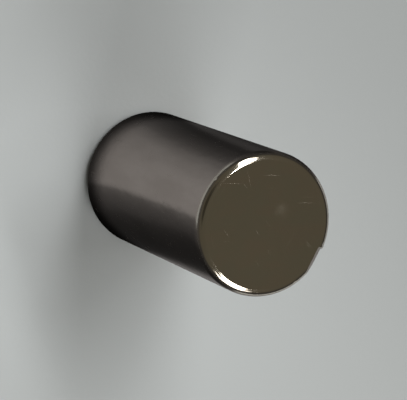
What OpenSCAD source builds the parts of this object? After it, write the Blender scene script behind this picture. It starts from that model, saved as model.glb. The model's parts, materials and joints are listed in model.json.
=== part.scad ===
// Cylinder magnet: a solid rod of sintered magnet alloy, ground round, tumbled
// until its rims are rounded, and plated all over. It is one piece.
// Frame: it stands on its lower pole face, whose centre is the origin, and +Z
// runs along its axis to the upper pole face. Sizes are in millimetres.

/* [Rod] */
// Diameter over the plating
rod_diameter = 10; // [4:0.5:20]
// Length from one pole face to the other
rod_length = 20; // [5:0.5:50]

/* [Rims] */
// Radius of the rounded rim between each pole face and the round side
rim_radius = 0.6; // [0.1:0.05:1.5]

/* [Hidden] */

$fn = 128;
rod_radius = rod_diameter / 2;
face_radius = rod_radius - rim_radius;
half_length = rod_length / 2;

// A quarter disc in the +X +Y quadrant, with its square corner on the origin.
module quarter_disc(radius) {
    intersection() {
        circle(r = radius);
        square(radius);
    }
}

// The lower half of the half section: the pole face lies on Y = 0, the rod's
// axis on X = 0, and the rim rounds the outer corner between them.
module lower_end() {
    square([face_radius, half_length]);
    translate([0, rim_radius])
        square([rod_radius, half_length - rim_radius]);
    translate([face_radius, rim_radius])
        mirror([0, 1])
            quarter_disc(rim_radius);
}

// Both ends of the half section, which meet at half length.
module half_section() {
    lower_end();
    translate([0, rod_length])
        mirror([0, 1])
            lower_end();
}

// The whole magnet: its half section turned once round the axis.
module magnet() {
    color("#bcb8ac")
        rotate_extrude()
            half_section();
}

magnet();
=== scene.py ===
"""Studio scene for a nickel-plated cylinder magnet that stands on its lower pole face.

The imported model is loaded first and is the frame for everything: the magnet's
radius, length and rim come from it. A finer mesh with the wear of the real
plating then stands for the plain rod. Lengths are in metres, apart from the
patterns of the materials, which are laid out in millimetres. The magnet's axis
is the Z axis.
"""

from __future__ import annotations

import json
import logging
import math
from dataclasses import dataclass
from enum import Enum
from typing import Any, Sequence, Union

import bpy
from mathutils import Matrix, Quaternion, Vector

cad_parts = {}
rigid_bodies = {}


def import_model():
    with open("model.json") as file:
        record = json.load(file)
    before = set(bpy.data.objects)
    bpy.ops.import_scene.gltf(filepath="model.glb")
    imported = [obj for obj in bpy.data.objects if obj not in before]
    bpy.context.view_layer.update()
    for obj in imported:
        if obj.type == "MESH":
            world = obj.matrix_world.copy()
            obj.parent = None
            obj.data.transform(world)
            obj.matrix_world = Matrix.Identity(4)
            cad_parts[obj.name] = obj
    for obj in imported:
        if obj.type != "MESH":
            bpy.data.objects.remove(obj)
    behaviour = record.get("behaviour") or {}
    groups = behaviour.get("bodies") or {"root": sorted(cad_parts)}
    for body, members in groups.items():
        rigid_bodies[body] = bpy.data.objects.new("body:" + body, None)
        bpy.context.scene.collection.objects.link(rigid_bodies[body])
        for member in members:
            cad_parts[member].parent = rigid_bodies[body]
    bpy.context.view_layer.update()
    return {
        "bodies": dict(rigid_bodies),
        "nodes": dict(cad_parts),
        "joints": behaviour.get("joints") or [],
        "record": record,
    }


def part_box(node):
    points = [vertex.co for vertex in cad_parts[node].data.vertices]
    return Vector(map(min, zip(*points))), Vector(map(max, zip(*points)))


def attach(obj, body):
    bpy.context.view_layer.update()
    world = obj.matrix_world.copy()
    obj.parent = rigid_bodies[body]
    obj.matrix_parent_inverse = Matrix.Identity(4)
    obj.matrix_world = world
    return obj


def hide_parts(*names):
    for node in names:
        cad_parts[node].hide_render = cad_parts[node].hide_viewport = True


LOG = logging.getLogger("cylinder_magnet")
MILLIMETRE = 0.001
MICROMETRE = 0.001 * MILLIMETRE
MILLIMETRES_PER_METRE = 1000.0
QUARTER_TURN = math.pi / 2
FULL_CIRCLE = 360.0  # in degrees
LEVEL = 90.0  # how far a level way is off the vertical, in degrees

# the numbers of sockets that share their names with others on the same node
MIX_SHARE, MIX_FIRST, MIX_SECOND, MIX_COLOUR = 0, 6, 7, 2
SHADER_FIRST, SHADER_SECOND = 1, 2
RANDOM_LOWEST, RANDOM_HIGHEST, RANDOM_NUMBER = 2, 3, 1

Span = tuple[float, float]
Colour = tuple[float, float, float]
Value = Union[float, int, bool, Sequence[float], "Signal", bpy.types.NodeSocket, bpy.types.ID]


def opaque(colour: Colour) -> tuple[float, float, float, float]:
    """A colour with full alpha, as colour sockets take it."""
    return (*colour, 1.0)


def toward(azimuth: float, off_vertical: float) -> Vector:
    """The unit vector at an azimuth and an angle off the vertical, both in degrees."""
    turn, lean = math.radians(azimuth), math.radians(off_vertical)
    return Vector((math.sin(lean) * math.cos(turn), math.sin(lean) * math.sin(turn), math.cos(lean)))


def shown(name: str, data: bpy.types.ID) -> bpy.types.Object:
    """Puts a new object into the scene.

    Args:
        name: The object's name.
        data: Its mesh, light or camera.

    Returns:
        The object, at the origin.
    """
    thing = bpy.data.objects.new(name, data)
    bpy.context.scene.collection.objects.link(thing)
    return thing


# ---------------------------------------------------------------- node graphs


class Easing(Enum):
    """How a ramp runs from its start to its end, by the Map Range node's own names."""

    STRAIGHT = "LINEAR"
    SMOOTH = "SMOOTHSTEP"


@dataclass(frozen=True)
class Grain:
    """A kind of smooth noise.

    The scale is the number of features to a unit of place. The place is turned
    about Z, in degrees, and then stretched, so that a stretch under 1 draws the
    noise out along its axis.
    """

    scale: float
    seed: float
    detail: float = 2.0
    roughness: float = 0.5
    stretch: tuple[float, float, float] = (1.0, 1.0, 1.0)
    turn: float = 0.0


@dataclass(frozen=True)
class Marks:
    """A kind of small separate mark.

    The spacing is the length that one mark has to itself along each axis, after
    a turn about Z in degrees. An endless spacing draws the marks out all along
    its axis. The share is the part of the places that hold a mark. A mark begins
    at its edge and is full at its heart, both as shares of the spacing.
    """

    spacing: tuple[float, float, float]
    share: float
    seed: float
    turn: float = 0.0
    edge: float = 0.34
    heart: float = 0.08


class Signal:
    """A number or vector that a node gives, which arithmetic carries on with Math nodes."""

    def __init__(self, graph: "Graph", socket: bpy.types.NodeSocket) -> None:
        """Keeps the socket that gives the number, and the graph that its node belongs to."""
        self.graph = graph
        self.socket = socket

    def __add__(self, other: Value) -> "Signal":
        """This number plus another."""
        return self.graph.math("ADD", self, other)

    def __sub__(self, other: Value) -> "Signal":
        """This number less another."""
        return self.graph.math("SUBTRACT", self, other)

    def __rsub__(self, other: Value) -> "Signal":
        """Another number less this one."""
        return self.graph.math("SUBTRACT", other, self)

    def __mul__(self, other: Value) -> "Signal":
        """This number times another."""
        return self.graph.math("MULTIPLY", self, other)

    def __truediv__(self, other: Value) -> "Signal":
        """This number over another."""
        return self.graph.math("DIVIDE", self, other)


class Graph:
    """Adds nodes to a tree and links them, so that a graph reads as formulas."""

    def __init__(self, tree: bpy.types.NodeTree) -> None:
        """Starts on the shader or geometry tree to build in."""
        self.tree = tree

    @classmethod
    def of_material(cls, name: str) -> tuple[bpy.types.Material, "Graph"]:
        """Makes an empty material.

        Args:
            name: The material's name.

        Returns:
            The material and the graph to build it with.
        """
        material = bpy.data.materials.new(name)
        material.use_nodes = True
        material.node_tree.nodes.clear()
        return material, cls(material.node_tree)

    def add(self, kind: str, inputs: dict[Any, Value] | None = None, **settings: Any) -> bpy.types.Node:
        """Adds one node.

        Args:
            kind: The node's type name.
            inputs: What feeds its inputs, by socket name or number.
            settings: The node's own properties.

        Returns:
            The new node.
        """
        node = self.tree.nodes.new(kind)
        for name, setting in settings.items():
            setattr(node, name, setting)
        for name, value in (inputs or {}).items():
            self.feed(node.inputs[name], value)
        return node

    def feed(self, socket: bpy.types.NodeSocket, value: Value) -> None:
        """Links a signal or a socket to an input, or sets the input to a plain value.

        Args:
            socket: The input to feed.
            value: What it gets.
        """
        if isinstance(value, Signal):
            value = value.socket
        if isinstance(value, bpy.types.NodeSocket):
            self.tree.links.new(value, socket)
        else:
            socket.default_value = value

    def signal(self, node: bpy.types.Node, output: int | str = 0) -> Signal:
        """A node's output as a number to calculate with."""
        return Signal(self, node.outputs[output])

    def object_place(self) -> Signal:
        """Object coordinates in millimetres."""
        return self.scaled(self.add("ShaderNodeTexCoord").outputs["Object"], MILLIMETRES_PER_METRE)

    def math(self, operation: str, *operands: Value, clamp: bool = False) -> Signal:
        """What a Math node makes of its operands, held between 0 and 1 where it is clamped."""
        node = self.add("ShaderNodeMath", dict(enumerate(operands)), operation=operation, use_clamp=clamp)
        return self.signal(node)

    def vector(self, operation: str, *operands: Value, output: int | str = 0) -> Signal:
        """What a Vector Math node makes of its operands, at one of its outputs."""
        node = self.add("ShaderNodeVectorMath", dict(enumerate(operands)), operation=operation)
        return self.signal(node, output)

    def along(self, place: Value, way: Value) -> Signal:
        """How far a place lies along a way."""
        return self.vector("DOT_PRODUCT", place, way, output="Value")

    def scaled(self, vector: Value, factor: Value) -> Signal:
        """A vector times a number."""
        node = self.add("ShaderNodeVectorMath", {"Vector": vector, "Scale": factor}, operation="SCALE")
        return self.signal(node)

    def combine(self, x: Value, y: Value, z: Value) -> Signal:
        """A vector from its three parts."""
        return self.signal(self.add("ShaderNodeCombineXYZ", {"X": x, "Y": y, "Z": z}))

    def separate(self, vector: Value) -> tuple[Signal, Signal, Signal]:
        """The three parts of a vector."""
        node = self.add("ShaderNodeSeparateXYZ", {"Vector": vector})
        return self.signal(node, "X"), self.signal(node, "Y"), self.signal(node, "Z")

    def turned(self, vector: Value, turn: float) -> Signal:
        """Turns a vector about Z.

        Args:
            vector: The vector.
            turn: How far it turns, in degrees.

        Returns:
            The turned vector.
        """
        node = self.add("ShaderNodeVectorRotate", {"Vector": vector, "Angle": math.radians(turn)},
                        rotation_type="Z_AXIS")
        return self.signal(node)

    def ramp(self, value: Value, start: Value, end: Value, low: Value = 0.0, high: Value = 1.0,
             easing: Easing = Easing.SMOOTH) -> Signal:
        """Carries a value from one span to another, and holds it within the second span.

        Args:
            value: What is carried.
            start: The value that gives low.
            end: The value that gives high.
            low: The result at the start.
            high: The result at the end.
            easing: How it runs from the start to the end.

        Returns:
            The result.
        """
        node = self.add("ShaderNodeMapRange",
                        {"Value": value, "From Min": start, "From Max": end, "To Min": low, "To Max": high},
                        interpolation_type=easing.value)
        return self.signal(node)

    def curve(self, value: Value, points: Sequence[Span]) -> Signal:
        """Follows a smooth line through points.

        Args:
            value: What is looked up.
            points: The pairs of value and result, in rising order of value.

        Returns:
            The result.
        """
        (first, _), (last, _) = points[0], points[-1]
        top = max(result for _, result in points)
        share = self.ramp(value, first, last, easing=Easing.STRAIGHT)
        node = self.add("ShaderNodeFloatCurve", {"Value": share})
        line = node.mapping.curves[0]
        places = [((at - first) / (last - first), result / top) for at, result in points]
        for place in places[1:-1]:
            line.points.new(*place)
        for point, place in zip(line.points, places):
            point.location = place
        node.mapping.update()
        return self.signal(node) * top

    def mixed(self, share: Value, first: Value, second: Value) -> Signal:
        """A colour that goes from the first to the second as the share goes from 0 to 1.

        Args:
            share: How much of the second colour there is.
            first: The colour at 0.
            second: The colour at 1.

        Returns:
            The mixed colour.
        """
        node = self.add("ShaderNodeMix", {MIX_SHARE: share, MIX_FIRST: first, MIX_SECOND: second},
                        data_type="RGBA")
        return self.signal(node, MIX_COLOUR)

    def noise(self, place: Value, grain: Grain) -> Signal:
        """Smooth noise around one half.

        Args:
            place: Where it is read.
            grain: The kind of noise.

        Returns:
            The noise, from 0 to 1.
        """
        laid_out = self.vector("MULTIPLY", self.turned(place, grain.turn), grain.stretch)
        node = self.add("ShaderNodeTexNoise",
                        {"Vector": laid_out, "W": grain.seed, "Scale": grain.scale,
                         "Detail": grain.detail, "Roughness": grain.roughness}, noise_dimensions="4D")
        return self.signal(node)

    def scattered(self, place: Value, marks: Marks) -> Signal:
        """Marks of one kind.

        Args:
            place: Where they are read.
            marks: The kind of mark.

        Returns:
            1 on a mark and 0 off it.
        """
        stretch = tuple(1 / length for length in marks.spacing)
        laid_out = self.vector("MULTIPLY", self.turned(place, marks.turn), stretch)
        cells = self.add("ShaderNodeTexVoronoi",
                         {"Vector": laid_out, "W": marks.seed, "Scale": 1.0, "Randomness": 1.0},
                         voronoi_dimensions="4D")
        chance, _, _ = self.separate(cells.outputs["Color"])
        chosen = self.math("GREATER_THAN", chance, 1.0 - marks.share)
        return self.ramp(self.signal(cells, "Distance"), marks.edge, marks.heart) * chosen


# ------------------------------------------------------------ the rod's sizes


@dataclass(frozen=True)
class RodSize:
    """The rod's driving sizes, in metres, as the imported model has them."""

    radius: float
    length: float
    rim_radius: float

    @classmethod
    def from_frame(cls, frame: dict[str, Any], node: str, side_mount: str) -> "RodSize":
        """Reads the sizes from the frame.

        Args:
            node: The rod's CAD node.
            side_mount: The mount that gives the straight side between the rims.

        Returns:
            The sizes.
        """
        low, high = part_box(node)
        side = next(mount for mount in frame["record"]["mounts"] if mount["name"] == side_mount)
        radius = side["dims"]["r_mm"] * MILLIMETRE
        straight = side["dims"]["length_mm"] * MILLIMETRE
        length = high.z - low.z
        return cls(radius=radius, length=length, rim_radius=(length - straight) / 2)

    @property
    def face_radius(self) -> float:
        """The radius of the flat of a pole face, inside the rounded rim."""
        return self.radius - self.rim_radius

    @property
    def centre(self) -> Vector:
        """The middle of the rod."""
        return Vector((0.0, 0.0, self.length / 2))

    def rim_point(self, azimuth: float, tilt: float) -> Vector:
        """The point on the upper rim that faces an azimuth and a tilt from the axis, in degrees."""
        rise = Vector((0.0, 0.0, self.length - self.rim_radius))
        return toward(azimuth, LEVEL) * self.face_radius + rise + toward(azimuth, tilt) * self.rim_radius


# ----------------------------------------------------------------- the finish


@dataclass(frozen=True)
class Smudge:
    """A faint touch mark on the upper face, placed in millimetres from its middle."""

    place: Span
    radius: float
    haze: float = 0.0
    tint: float = 0.0


@dataclass(frozen=True)
class Wear:
    """What a kind of wear does to the plating where it is at its strongest.

    The haze adds to the roughness, the depth sinks the surface, in metres, and
    the dullness is how far the metal goes to its dull colour.
    """

    haze: float
    depth: float
    dullness: float = 0.0


@dataclass(frozen=True)
class NickelPlating:
    """Bright nickel over a ground rod: near-mirror pole faces and a satin side."""

    name: str = "nickel_plating"
    zone_attribute: str = "pole_face"
    face_colour: Colour = (0.66, 0.61, 0.53)
    side_colour: Colour = (0.60, 0.558, 0.513)
    warm_colour: Colour = (0.682, 0.600, 0.520)
    dull_colour: Colour = (0.42, 0.38, 0.34)
    face_roughness: float = 0.06
    side_roughness: float = 0.15

    # touch marks, on what lies higher than the lowest place, in millimetres
    smudges: tuple[Smudge, ...] = (
        Smudge(place=(-1.33, 0.68), radius=0.80, haze=0.070),
        Smudge(place=(0.78, 2.05), radius=1.50, tint=0.55),
    )
    smudge_edge: Grain = Grain(scale=2.2, seed=4.4, detail=3.0)
    smudge_lowest: float = 1.0

    # the soft unevenness of plating on a pressed face
    peel_waves: Grain = Grain(scale=2.6, seed=3.1, stretch=(1.0, 0.55, 1.0), turn=35.0)
    peel_wave_height: float = 2.2 * MICROMETRE
    peel_grain: Grain = Grain(scale=14.0, seed=8.4, detail=1.0)
    peel_grain_height: float = 0.1 * MICROMETRE

    # broad faint cloudiness where a face has been wiped and handled
    smears: Grain = Grain(scale=0.55, seed=5.7, detail=4.0, roughness=0.6,
                          stretch=(1.0, 0.6, 1.0), turn=-25.0)
    smear_haze: float = 0.03
    smear_warmth: Span = (0.42, 0.62)

    # fine scratches on a pole face, in a few directions
    scratches: tuple[Marks, ...] = (
        Marks(spacing=(4.2, 0.060, math.inf), share=0.05, seed=1.3, turn=12.0),
        Marks(spacing=(2.8, 0.050, math.inf), share=0.05, seed=6.6, turn=71.0),
        Marks(spacing=(3.4, 0.070, math.inf), share=0.04, seed=4.9, turn=-38.0),
        Marks(spacing=(1.6, 0.045, math.inf), share=0.06, seed=7.2, turn=118.0),
    )
    scratch_wear: Wear = Wear(haze=0.16, depth=0.25 * MICROMETRE)

    # the fine rings that centreless grinding leaves round the side
    ground_rings: Grain = Grain(scale=1.0, seed=2.2, detail=5.0, roughness=0.7, stretch=(0.22, 0.22, 9.0))
    ground_patches: Grain = Grain(scale=0.5, seed=6.1, detail=3.0, stretch=(1.0, 1.0, 0.4))
    ground_patch_share: float = 0.35
    ground_haze: float = 0.10
    ground_height: float = 0.70 * MICROMETRE

    # the slow unevenness of the side under its plating
    side_waves: Grain = Grain(scale=0.75, seed=1.7, stretch=(1.0, 1.0, 0.55))
    side_wave_height: float = 32.0 * MICROMETRE

    # broad soft patches along the side where the nickel is duller
    clouds: Grain = Grain(scale=0.55, seed=12.3, detail=3.0, stretch=(1.0, 1.0, 0.30))
    cloud_span: Span = (0.35, 0.65)
    cloud_dullness: float = 0.42

    # small dull scuffs on the side
    scuffs: Grain = Grain(scale=1.7, seed=9.6, detail=6.0, roughness=0.75, stretch=(1.0, 1.0, 0.6))
    scuff_span: Span = (0.57, 0.69)
    scuff_wear: Wear = Wear(haze=0.18, depth=0.8 * MICROMETRE, dullness=0.22)

    # fine rubs on the side, some along the rod and some round it
    rubs: tuple[Marks, ...] = (
        Marks(spacing=(0.13, 0.13, 2.6), share=0.06, seed=3.9),
        Marks(spacing=(1.8, 1.8, 0.10), share=0.05, seed=8.1),
    )
    rub_wear: Wear = Wear(haze=0.20, depth=0.5 * MICROMETRE, dullness=0.42)

    def build(self) -> bpy.types.Material:
        """Makes the material.

        Returns:
            The material, with its patterns on Object coordinates in millimetres.
        """
        material, graph = Graph.of_material(self.name)
        place = graph.object_place()
        face = graph.signal(graph.add("ShaderNodeAttribute", attribute_name=self.zone_attribute), "Fac")
        side = 1.0 - face
        touch_haze, touch_tint = self.touches(graph, place)
        smear = graph.noise(place, self.smears)
        ground = self.grinding(graph, place)
        cloud = graph.ramp(graph.noise(place, self.clouds), *self.cloud_span) * side

        roughness = graph.ramp(face, 0.0, 1.0, self.side_roughness, self.face_roughness, Easing.STRAIGHT)
        roughness += (touch_haze + (smear - 0.5) * self.smear_haze) * face
        roughness += (ground - 0.5) * side * self.ground_haze
        height = self.orange_peel(graph, place) * face + ground * side * self.ground_height
        height += graph.noise(place, self.side_waves) * side * self.side_wave_height
        dullness = cloud * self.cloud_dullness
        for strength, wear in self.worn(graph, place, face, side):
            roughness += strength * wear.haze
            height -= strength * wear.depth
            dullness += strength * wear.dullness

        warmth = graph.math("ADD", touch_tint, graph.ramp(smear, *self.smear_warmth), clamp=True) * face
        clean = graph.mixed(face, opaque(self.side_colour), opaque(self.face_colour))
        warmed = graph.mixed(warmth, clean, opaque(self.warm_colour))
        dulled = graph.mixed(graph.math("MINIMUM", dullness, 1.0), warmed, opaque(self.dull_colour))
        bump = graph.add("ShaderNodeBump", {"Height": height, "Strength": 1.0, "Distance": 1.0})
        shader = graph.add("ShaderNodeBsdfPrincipled",
                           {"Base Color": dulled, "Metallic": 1.0, "Roughness": roughness,
                            "Normal": bump.outputs["Normal"]})
        graph.add("ShaderNodeOutputMaterial", {"Surface": shader.outputs["BSDF"]})
        return material

    def touches(self, graph: Graph, place: Signal) -> tuple[Signal, Signal]:
        """The touch marks on the upper face.

        Args:
            graph: The material's graph.
            place: Object coordinates in millimetres.

        Returns:
            What they add to the roughness, and how strongly they tint the metal.
        """
        _, _, height = graph.separate(place)
        upper = graph.math("GREATER_THAN", height, self.smudge_lowest)
        flat = graph.vector("MULTIPLY", place, (1.0, 1.0, 0.0))
        ragged = graph.noise(place, self.smudge_edge) - 0.5
        haze: Value = 0.0
        tint: Value = 0.0
        for smudge in self.smudges:
            away = graph.vector("DISTANCE", flat, (*smudge.place, 0.0), output="Value")
            touched = graph.ramp(away + ragged * smudge.radius, smudge.radius, 0.0) * upper
            haze = touched * smudge.haze + haze
            tint = touched * smudge.tint + tint
        return haze, tint

    def orange_peel(self, graph: Graph, place: Signal) -> Signal:
        """The height of the plating's soft unevenness on a face, in metres."""
        broad = graph.noise(place, self.peel_waves) * self.peel_wave_height
        return broad + graph.noise(place, self.peel_grain) * self.peel_grain_height

    def grinding(self, graph: Graph, place: Signal) -> Signal:
        """How ground the side looks, from 0 to 1: fine rings, with patches of more and less."""
        rings = graph.noise(place, self.ground_rings) * (1.0 - self.ground_patch_share)
        return rings + graph.noise(place, self.ground_patches) * self.ground_patch_share

    def worn(self, graph: Graph, place: Signal, face: Signal, side: Signal) -> list[tuple[Signal, Wear]]:
        """The scratches of the faces, and the scuffs and rubs of the side.

        Args:
            graph: The material's graph.
            place: Object coordinates in millimetres.
            face: 1 on the pole faces and 0 on the side.
            side: 1 on the side and 0 on the pole faces.

        Returns:
            How strong each kind of wear is, from 0 to 1, and what it does.
        """
        scratched = self.together(graph, place, self.scratches) * face
        scuffed = graph.ramp(graph.noise(place, self.scuffs), *self.scuff_span) * side
        rubbed = self.together(graph, place, self.rubs) * side
        return [(scratched, self.scratch_wear), (scuffed, self.scuff_wear), (rubbed, self.rub_wear)]

    def together(self, graph: Graph, place: Signal, kinds: Sequence[Marks]) -> Signal:
        """Marks of several kinds on one surface.

        Args:
            graph: The material's graph.
            place: Object coordinates in millimetres.
            kinds: The kinds of mark.

        Returns:
            1 on a mark of any kind and 0 off them all.
        """
        total: Value = 0.0
        for marks in kinds:
            total = graph.scattered(place, marks) + total
        return graph.math("MINIMUM", total, 1.0)


# ----------------------------------------------------------------- the magnet


class NickDraw(Enum):
    """What is drawn for each nick, and how far the draw's seed is from the first."""

    TURN = 0
    LEAN = 1
    RIM = 2
    REACH = 3


@dataclass(frozen=True)
class Knock:
    """A spot on the upper rim where a blow has broken a flat into it.

    The flat faces an azimuth and a tilt from the axis, in degrees, and its
    depth is measured that way. It ends in a step, at the stop: a distance round
    the rim from the flat's middle. The struck share is the part of the depth
    over which the broken grain sets in.
    """

    azimuth: float
    tilt: float
    depth: float
    stop: float
    stop_width: float = 0.07 * MILLIMETRE
    grain: Grain = Grain(scale=7.0 * MILLIMETRES_PER_METRE, seed=1.7, detail=3.0)
    grain_height: float = 0.05 * MILLIMETRE
    struck_share: float = 0.4


@dataclass(frozen=True)
class Magnet:
    """The whole magnet as one skin: a rounded half section turned about the Z axis."""

    size: RodSize
    finish: NickelPlating
    name: str = "plated_magnet"
    segments: int = 512
    face_rings: int = 22
    rim_rings: int = 22
    side_rings: int = 56
    face_ring_crowding: float = 2.2
    seam_gap: float = 1e-7
    knocks: tuple[Knock, ...] = (
        Knock(azimuth=84.5, tilt=50.0, depth=0.205 * MILLIMETRE, stop=0.44 * MILLIMETRE),
    )
    nick_count: int = 16
    nick_radius: Span = (0.08 * MILLIMETRE, 0.20 * MILLIMETRE)
    nick_depth_share: float = 0.16
    nick_floor_share: float = 0.15
    nick_tilt: Span = (18.0, 72.0)
    nick_lower_share: float = 0.4
    nick_seed: int = 21

    def build(self) -> bpy.types.Object:
        """Makes the magnet's mesh and gives it its plating.

        Returns:
            The finished object, at the origin.
        """
        carrier = shown("tree_carrier", bpy.data.meshes.new("tree_carrier"))
        modifier = carrier.modifiers.new("turned_section", "NODES")
        modifier.node_group = self.tree(self.finish.build())
        for item in modifier.node_group.interface.items_tree:
            if item.in_out == "INPUT":
                modifier[item.identifier] = self.inputs()[item.name]
        bpy.context.view_layer.update()
        evaluated = carrier.evaluated_get(bpy.context.evaluated_depsgraph_get())
        mesh = bpy.data.meshes.new_from_object(evaluated)
        mesh.name = self.name
        bpy.data.objects.remove(carrier)
        return shown(self.name, mesh)

    def inputs(self) -> dict[str, float]:
        """The tree's named inputs and what this magnet gives them."""
        return {"Rod Radius": self.size.radius, "Rod Length": self.size.length,
                "Rim Radius": self.size.rim_radius}

    def tree(self, material: bpy.types.Material) -> bpy.types.NodeTree:
        """Builds the geometry tree that turns the half section and wears its rims.

        Args:
            material: The plating that the mesh gets.

        Returns:
            The tree, which ends in Realize Instances and Set Material.
        """
        tree = bpy.data.node_groups.new("turned_half_section", "GeometryNodeTree")
        for label in self.inputs():
            tree.interface.new_socket(name=label, in_out="INPUT", socket_type="NodeSocketFloat")
        tree.interface.new_socket(name="Magnet", in_out="OUTPUT", socket_type="NodeSocketGeometry")
        graph = Graph(tree)
        given = graph.add("NodeGroupInput")
        radius, length, rim = (graph.signal(given, label) for label in self.inputs())
        turned = self.turned(graph, radius, length, rim)
        knocked = self.knocked(graph, turned)
        nicked = self.nicked(graph, knocked, radius, length, rim)
        closed = graph.add("GeometryNodeMergeByDistance", {"Geometry": nicked, "Distance": self.seam_gap})
        smooth = graph.add("GeometryNodeSetShadeSmooth", {"Geometry": closed.outputs[0]})
        realized = graph.add("GeometryNodeRealizeInstances", {"Geometry": smooth.outputs[0]})
        dressed = graph.add("GeometryNodeSetMaterial",
                            {"Geometry": realized.outputs[0], "Material": material})
        graph.add("NodeGroupOutput", {"Magnet": dressed.outputs[0]})
        return tree

    def turned(self, graph: Graph, radius: Signal, length: Signal, rim: Signal) -> Signal:
        """Bends a grid into the skin: lower face, lower rim, side, upper rim and upper face.

        Args:
            graph: The geometry graph.
            radius: The rod's radius.
            length: The rod's length.
            rim: The rim radius.

        Returns:
            The skin, with its zone stored on its points.
        """
        rings = (self.face_rings, self.rim_rings, self.side_rings, self.rim_rings, self.face_rings)
        grid = graph.add("GeometryNodeMeshGrid",
                         {"Size X": 1.0, "Size Y": 1.0, "Vertices X": self.segments + 1,
                          "Vertices Y": sum(rings) + 1})
        across, along, _ = graph.separate(graph.add("GeometryNodeInputPosition").outputs[0])
        ring = (along + 0.5) * sum(rings)
        shares = []
        start = 0
        for count in rings:
            shares.append(graph.ramp(ring, start, start + count, easing=Easing.STRAIGHT))
            start += count
        lower_face, lower_rim, side, upper_rim, upper_face = shares
        outward = 1.0 - graph.math("POWER", 1.0 - lower_face, self.face_ring_crowding)
        inward = graph.math("POWER", upper_face, self.face_ring_crowding)
        lower_turn = lower_rim * QUARTER_TURN
        upper_turn = upper_rim * QUARTER_TURN
        bulge = graph.math("SINE", lower_turn) + graph.math("COSINE", upper_turn) - 1.0
        reach = (radius - rim) * (outward - inward) + rim * bulge
        curl = 1.0 - graph.math("COSINE", lower_turn) + graph.math("SINE", upper_turn)
        rise = (length - rim * 2.0) * side + rim * curl
        angle = (across + 0.5) * math.tau
        point = graph.combine(reach * graph.math("COSINE", angle), reach * graph.math("SINE", angle), rise)
        on_face = graph.math("MAXIMUM", 1.0 - lower_rim, upper_rim)
        marked = graph.add("GeometryNodeStoreNamedAttribute",
                           {"Geometry": grid.outputs["Mesh"], "Name": self.finish.zone_attribute,
                            "Value": on_face}, data_type="FLOAT", domain="POINT")
        bent = graph.add("GeometryNodeSetPosition", {"Geometry": marked.outputs[0], "Position": point})
        return graph.signal(bent)

    def knocked(self, graph: Graph, skin: Signal) -> Signal:
        """Breaks a flat into the upper rim wherever it has been knocked.

        Args:
            graph: The geometry graph.
            skin: The skin so far.

        Returns:
            The skin with its knocks.
        """
        for knock in self.knocks:
            facing = toward(knock.azimuth, knock.tilt)
            level = self.size.rim_point(knock.azimuth, knock.tilt).dot(facing) - knock.depth
            place = graph.signal(graph.add("GeometryNodeInputPosition"))
            proud = graph.math("MAXIMUM", graph.along(place, facing) - level, 0.0)
            struck = graph.ramp(proud, 0.0, knock.depth * knock.struck_share)
            broken = (graph.noise(place, knock.grain) - 0.5) * struck * knock.grain_height
            round_rim = graph.along(place, toward(knock.azimuth + LEVEL, LEVEL))
            within = graph.ramp(round_rim, knock.stop, knock.stop - knock.stop_width)
            offset = graph.scaled(tuple(-facing), (proud + broken) * within)
            skin = graph.signal(graph.add("GeometryNodeSetPosition", {"Geometry": skin, "Offset": offset}))
        return skin

    def nicked(self, graph: Graph, skin: Signal, radius: Signal, length: Signal, rim: Signal) -> Signal:
        """Presses small round nicks into both rims, at places drawn from a fixed seed.

        Args:
            graph: The geometry graph.
            skin: The skin so far.
            radius: The rod's radius.
            length: The rod's length.
            rim: The rim radius.

        Returns:
            The skin with its nicks.
        """
        turn = self.drawn(graph, NickDraw.TURN, (0.0, math.tau))
        lean = self.drawn(graph, NickDraw.LEAN, tuple(math.radians(tilt) for tilt in self.nick_tilt))
        rim_chance = self.drawn(graph, NickDraw.RIM, (0.0, 1.0))
        spread = self.drawn(graph, NickDraw.REACH, self.nick_radius)
        upper = graph.math("GREATER_THAN", rim_chance, self.nick_lower_share)
        out = radius - rim + rim * graph.math("SINE", lean)
        inset = rim - rim * graph.math("COSINE", lean)
        height = upper * (length - inset * 2.0) + inset
        middle = graph.combine(out * graph.math("COSINE", turn), out * graph.math("SINE", turn), height)
        nicks = graph.signal(graph.add("GeometryNodePoints", {"Count": self.nick_count, "Position": middle}))
        place = graph.signal(graph.add("GeometryNodeInputPosition"))
        nearest = graph.signal(graph.add("GeometryNodeSampleNearest",
                                         {"Geometry": nicks, "Sample Position": place}, domain="POINT"))
        home = graph.signal(graph.add("GeometryNodeSampleIndex",
                                      {"Geometry": nicks, "Value": place, "Index": nearest},
                                      data_type="FLOAT_VECTOR", domain="POINT"))
        reach = graph.signal(graph.add("GeometryNodeSampleIndex",
                                       {"Geometry": nicks, "Value": spread, "Index": nearest},
                                       data_type="FLOAT", domain="POINT"))
        away = graph.vector("DISTANCE", place, home, output="Value") / reach
        dish = graph.ramp(away, 1.0, self.nick_floor_share)
        normal = graph.add("GeometryNodeInputNormal").outputs[0]
        offset = graph.scaled(normal, dish * reach * -self.nick_depth_share)
        return graph.signal(graph.add("GeometryNodeSetPosition", {"Geometry": skin, "Offset": offset}))

    def drawn(self, graph: Graph, draw: NickDraw, span: Span) -> Signal:
        """Draws a random number for each nick.

        Args:
            graph: The geometry graph.
            draw: What the number is for.
            span: The lowest and the highest number that can come up.

        Returns:
            The numbers.
        """
        lowest, highest = span
        nick = graph.add("GeometryNodeInputIndex").outputs[0]
        node = graph.add("FunctionNodeRandomValue",
                         {RANDOM_LOWEST: lowest, RANDOM_HIGHEST: highest, "ID": nick,
                          "Seed": self.nick_seed + draw.value}, data_type="FLOAT")
        return graph.signal(node, RANDOM_NUMBER)


# ------------------------------------------------------------------ the studio


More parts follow.
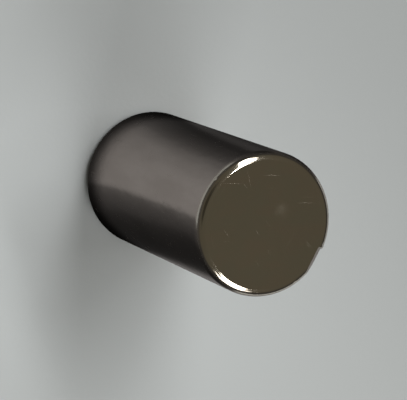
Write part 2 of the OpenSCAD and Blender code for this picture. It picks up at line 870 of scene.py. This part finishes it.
@dataclass(frozen=True)
class Lamp:
    """A flat soft lamp that hangs level under the ceiling and shines straight down.

    Its place and sizes are given in lamp heights: (1, 0) is as far along X as the
    lamp is high. Its turn is about the vertical, in degrees. Blender's area lamp
    takes a power of 4 for each unit of radiance and area.
    """

    name: str
    place: Span
    length: float
    width: float
    turn: float
    radiance: float
    power_of_radiance: float = 4.0
    colour: Colour = (1.0, 0.985, 0.94)

    def build(self, height: float) -> None:
        """Hangs the lamp.

        Args:
            height: How high over the floor it hangs.
        """
        data = bpy.data.lights.new(self.name, "AREA")
        data.shape = "RECTANGLE"
        data.size = self.length * height
        data.size_y = self.width * height
        data.energy = self.radiance * self.power_of_radiance * data.size * data.size_y
        data.color = self.colour
        lamp = shown(self.name, data)
        lamp.location = (self.place[0] * height, self.place[1] * height, height)
        lamp.rotation_euler = (0.0, 0.0, math.radians(self.turn))
        lamp.visible_camera = False


@dataclass(frozen=True)
class Room:
    """The dim room round the table, a glowing dome of painted light: it lights the scene dimly, the metal
    mirrors it and the camera doesn't see it.

    It is a dome that starts at its lowest angle over the floor, in degrees. The
    ceiling sets in and the near wall fades over spans of rise, and the near
    wall sets in over a span along Y, all as parts of a unit vector. Where somebody
    looks on, from an azimuth and an angle off the vertical, in degrees, the glow has
    a painted shade out to the spread, which is the angle of the soft edge and of the heart.
    """

    radius: float = 2.2
    lowest: float = 1.0
    rings: int = 30
    segments: int = 72
    # the colours of the glow, painted light for the room
    ceiling: Colour = (0.0965, 0.0885, 0.0650)
    ceiling_rise: Span = (0.30, 0.62)
    walls: Colour = (0.042, 0.040, 0.037)
    near_wall: Colour = (0.085, 0.080, 0.072)
    near_wall_back: Span = (-0.45, -0.85)
    near_wall_rise: Span = (0.55, 0.30)
    # painted shade in the glow where somebody looks on
    onlooker: Span = (270.0, 31.0)
    onlooker_spread: Span = (22.0, 11.0)
    onlooker_shade: float = 0.42
    # painted unevenness of the glow
    glow_grain: Grain = Grain(scale=26.0, seed=1.9)
    glow_grain_contrast: float = 0.22

    def build(self) -> None:
        """Puts the room up as one dome, open below."""
        points = []
        faces = []
        for ring in range(self.rings + 1):
            rise = self.lowest + (LEVEL - self.lowest) * ring / self.rings
            for step in range(self.segments):
                points.append(toward(FULL_CIRCLE * step / self.segments, LEVEL - rise) * self.radius)
        for ring in range(self.rings):
            lower = ring * self.segments
            upper = lower + self.segments
            for step in range(self.segments):
                after = (step + 1) % self.segments
                faces.append((lower + step, upper + step, upper + after, lower + after))
        mesh = bpy.data.meshes.new("dim_room")
        mesh.from_pydata(points, [], faces)
        mesh.materials.append(self.material())
        dome = shown("dim_room", mesh)
        dome.visible_camera = False
        dome.visible_shadow = False

    def material(self) -> bpy.types.Material:
        """The room's glow, painted light: an even ceiling, dim walls, a paler near wall, the painted shade
        where somebody looks on, and a painted unevenness.

        Returns:
            The material.
        """
        material, graph = Graph.of_material("room_glow")
        look = graph.vector("NORMALIZE", graph.add("ShaderNodeTexCoord").outputs["Object"])
        _, back, up = graph.separate(look)
        near = graph.ramp(back, *self.near_wall_back) * graph.ramp(up, *self.near_wall_rise)
        walls = graph.mixed(near, opaque(self.walls), opaque(self.near_wall))
        whole = graph.mixed(graph.ramp(up, *self.ceiling_rise), walls, opaque(self.ceiling))
        # painted shade in the glow where somebody looks on
        facing = graph.along(look, toward(*self.onlooker))
        edge, heart = (math.cos(math.radians(spread)) for spread in self.onlooker_spread)
        shadow = graph.ramp(facing, edge, heart, 1.0, self.onlooker_shade)
        # painted unevenness of the glow
        uneven = (graph.noise(look, self.glow_grain) - 0.5) * self.glow_grain_contrast + 1.0
        shader = graph.add("ShaderNodeEmission", {"Color": whole, "Strength": shadow * uneven})
        graph.add("ShaderNodeOutputMaterial", {"Surface": shader.outputs[0]})
        return material


@dataclass(frozen=True)
class PaintedReflectionMat:
    """A glowing mat with a raised edge round the magnet's foot, which only reflections see: painted
    reflection for the metal to mirror.

    It glows pale before and behind the magnet and dark beside it, as painted light and
    shade. A tone goes with each way round the foot, in degrees from where the mat faces,
    with its left below 0. The spans in it are distances from the axis in millimetres:
    the mat is darker close to the foot, a painted contact shadow, and its paler parts
    fade out far away.
    """

    inner: float = 4.7 * MILLIMETRE
    outer: float = 75.0 * MILLIMETRE
    edge_height: float = 20.0 * MILLIMETRE
    lift: float = 0.03 * MILLIMETRE
    segments: int = 96
    facing: float = 270.0
    # the glow of the painted reflection, which the tones below scale
    pale: Colour = (0.240, 0.230, 0.227)
    back_left_tones: tuple[Span, ...] = ((-180.0, 0.85), (-150.0, 0.75))
    left_tones: tuple[Span, ...] = ((-128.0, 0.10), (-104.0, 0.17), (-93.0, 0.08), (-80.0, 0.12))
    front_tones: tuple[Span, ...] = ((-66.0, 0.22), (-48.0, 0.56), (-31.0, 0.84), (15.0, 1.05),
                                     (20.0, 1.02), (28.0, 0.44), (48.0, 0.19))
    right_tones: tuple[Span, ...] = ((67.0, 0.08), (100.0, 0.08))
    back_right_tones: tuple[Span, ...] = ((126.0, 0.72), (180.0, 0.85))
    # painted contact shadow close to the foot, and painted shade that lifts away from it
    contact_span: Span = (5.30, 6.75)
    contact_shade: float = 0.10
    shade_span: Span = (6.0, 16.0)
    shades: Span = (1.02, 1.10)
    fade_span: Span = (26.0, 74.0)
    fading_tones: Span = (0.30, 0.60)

    def build(self) -> None:
        """Lays the mat on the floor."""
        points = []
        faces = []
        for step in range(self.segments):
            way = toward(FULL_CIRCLE * step / self.segments, LEVEL)
            section = [way * self.inner + Vector((0, 0, self.lift)),
                       way * self.outer + Vector((0, 0, self.lift)),
                       way * self.outer + Vector((0, 0, self.edge_height))]
            here = len(section) * step
            after = len(section) * ((step + 1) % self.segments)
            points += section
            faces.append((here, here + 1, after + 1, after))
            faces.append((here + 1, here + 2, after + 2, after + 1))
        mesh = bpy.data.meshes.new("painted_reflection_mat")
        mesh.from_pydata(points, [], faces)
        mesh.materials.append(self.material())
        mat = shown("painted_reflection_mat", mesh)
        mat.visible_camera = False
        mat.visible_diffuse = False
        mat.visible_shadow = False
        mat.visible_transmission = False

    def material(self) -> bpy.types.Material:
        """The mat's glow, painted light and shade for the metal to mirror, which goes by the way round the
        foot and a little by the distance.

        Returns:
            The material.
        """
        material, graph = Graph.of_material("painted_reflection_tone")
        place = graph.object_place()
        ahead, across, _ = graph.separate(graph.turned(place, -self.facing))
        way = graph.math("ARCTAN2", across, ahead) * math.degrees(1.0)
        distance = graph.vector("LENGTH", place, output="Value")
        # painted light and shade round the foot: pale before and behind, dark beside
        tone = graph.curve(way, self.back_left_tones + self.left_tones + self.front_tones
                           + self.right_tones + self.back_right_tones)
        shade = graph.ramp(distance, *self.shade_span, *self.shades)
        # painted contact shadow close to the foot
        contact = graph.ramp(distance, *self.contact_span, self.contact_shade, 1.0)
        glow = graph.add("ShaderNodeEmission",
                         {"Color": opaque(self.pale), "Strength": shade * contact * tone})
        clear = graph.add("ShaderNodeBsdfTransparent")
        clearness = graph.ramp(distance, *self.fade_span) * graph.ramp(tone, *self.fading_tones)
        faded = graph.add("ShaderNodeMixShader",
                          {"Fac": clearness, SHADER_FIRST: glow.outputs[0],
                           SHADER_SECOND: clear.outputs[0]})
        graph.add("ShaderNodeOutputMaterial", {"Surface": faded.outputs[0]})
        return material


@dataclass(frozen=True)
class Floor:
    """The pale paper under the magnet, a little brighter one way, as painted light.

    Its colour goes from near to far over a span of distance from the axis, brighter
    near the magnet as a painted pool of light, and its brightness goes up over a span
    along the way of the painted light, in millimetres, as a painted gradient of light.
    """

    reach: float = 1.3
    # the paper's colour with painted light: brighter near the magnet, dimmer far off, and brighter along one
    # way
    paper_painted_bright: Colour = (0.462, 0.492, 0.517)
    paper_painted_dim: Colour = (0.408, 0.434, 0.452)
    painted_dimming_span: Span = (6.0, 34.0)
    painted_light_way: float = -8.0
    painted_light_span: Span = (-20.0, 20.0)
    painted_light_gain: Span = (0.98, 1.26)
    paper: Grain = Grain(scale=3.0, seed=2.9, detail=4.0)
    paper_height: float = 0.02 * MILLIMETRE
    paper_strength: float = 0.6
    roughness: float = 0.75

    def build(self) -> None:
        """Lays the floor under the magnet."""
        reach = self.reach
        corners = [(-reach, -reach, 0), (reach, -reach, 0), (reach, reach, 0), (-reach, reach, 0)]
        mesh = bpy.data.meshes.new("floor")
        mesh.from_pydata(corners, [], [tuple(range(len(corners)))])
        mesh.materials.append(self.material())
        shown("floor", mesh)

    def material(self) -> bpy.types.Material:
        """The paper.

        Returns:
            The material.
        """
        material, graph = Graph.of_material("floor_paper")
        place = graph.object_place()
        distance = graph.vector("LENGTH", place, output="Value")
        # painted light: the paper is brighter near the magnet and dimmer far off
        colour = graph.mixed(graph.ramp(distance, *self.painted_dimming_span),
                             opaque(self.paper_painted_bright), opaque(self.paper_painted_dim))
        # painted light: the paper brightens along one way across the floor
        lit = graph.ramp(graph.along(place, toward(self.painted_light_way, LEVEL)), *self.painted_light_span, *self.painted_light_gain)
        height = graph.noise(place, self.paper) * self.paper_height
        bump = graph.add("ShaderNodeBump",
                         {"Height": height, "Strength": self.paper_strength, "Distance": 1.0})
        shader = graph.add("ShaderNodeBsdfPrincipled",
                           {"Base Color": graph.scaled(colour, lit), "Roughness": self.roughness,
                            "Normal": bump.outputs["Normal"]})
        graph.add("ShaderNodeOutputMaterial", {"Surface": shader.outputs[0]})
        return material


@dataclass(frozen=True)
class Studio:
    """A pale floor under a dim room, with two rows of soft lamps overhead."""

    lamp_height: float = 1.0
    pale: Colour = (0.413, 0.429, 0.418)
    dim: Colour = (0.08, 0.08, 0.08)
    lamps: tuple[Lamp, ...] = (
        Lamp("left_lamp_near", place=(-0.215, 0.265), length=0.24, width=0.075, turn=225.0, radiance=14.0),
        Lamp("left_lamp_middle", place=(-0.49, 0.075), length=0.44, width=0.145, turn=221.5, radiance=14.0),
        Lamp("left_lamp_far", place=(-0.99, -0.225), length=0.78, width=0.32, turn=215.5, radiance=7.4),
        Lamp("right_lamp_near", place=(0.31, 0.49), length=0.24, width=0.14, turn=-3.0, radiance=6.0),
        Lamp("right_lamp_middle", place=(0.66, 0.495), length=0.50, width=0.32, turn=1.0, radiance=4.0),
        Lamp("right_lamp_far", place=(1.95, 0.67), length=2.10, width=0.82, turn=7.0, radiance=3.3),
    )

    def build(self) -> None:
        """Makes the floor, the glowing room, the mat of painted reflection, the lamps and the background."""
        for part in (Floor(), Room(), PaintedReflectionMat()):
            part.build()
        for lamp in self.lamps:
            lamp.build(self.lamp_height)
        self.background()
        bpy.context.scene.view_settings.view_transform = "Standard"

    def background(self) -> None:
        """Sets the plain background beyond the floor: pale to look at, dim as a light."""
        world = bpy.data.worlds.new("studio")
        bpy.context.scene.world = world
        world.use_nodes = True
        world.node_tree.nodes.clear()
        graph = Graph(world.node_tree)
        ray = graph.add("ShaderNodeLightPath")
        bent = graph.math("MAXIMUM", ray.outputs["Is Glossy Ray"], ray.outputs["Is Transmission Ray"])
        seen = graph.math("MAXIMUM", ray.outputs["Is Camera Ray"], bent)
        tone = graph.mixed(seen, opaque(self.dim), opaque(self.pale))
        shader = graph.add("ShaderNodeBackground", {"Color": tone, "Strength": 1.0})
        graph.add("ShaderNodeOutputWorld", {"Surface": shader.outputs[0]})


@dataclass(frozen=True)
class Viewpoint:
    """The camera: how high it looks down from, how far off it stands, and how far it is rolled."""

    azimuth: float = -90.0
    elevation: float = 63.3
    roll: float = 112.0
    distance: float = 0.172
    lens: float = 215.0
    nearest: float = 0.01
    farthest: float = 10.0

    def build(self, target: Vector) -> None:
        """Sets the camera up.

        Args:
            target: The point that it looks at.
        """
        data = bpy.data.cameras.new("camera")
        data.lens = self.lens
        data.clip_start = self.nearest
        data.clip_end = self.farthest
        camera = shown("camera", data)
        back = toward(self.azimuth, LEVEL - self.elevation)
        level = (-back).to_track_quat("-Z", "Y")
        camera.location = target + back * self.distance
        camera.rotation_mode = "QUATERNION"
        camera.rotation_quaternion = level @ Quaternion((0.0, 0.0, 1.0), math.radians(self.roll))
        bpy.context.scene.camera = camera


def main() -> None:
    """Loads the frame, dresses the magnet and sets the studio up."""
    logging.basicConfig(level=logging.INFO, format="%(name)s: %(message)s")
    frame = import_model()
    size = RodSize.from_frame(frame, node="magnet", side_mount="round_side")
    piece = Magnet(size, NickelPlating()).build()
    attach(piece, "root")
    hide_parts("magnet")
    LOG.info("%s: %d faces", piece.name, len(piece.data.polygons))
    Studio().build()
    Viewpoint().build(size.centre)


if __name__ == "__main__":
    main()
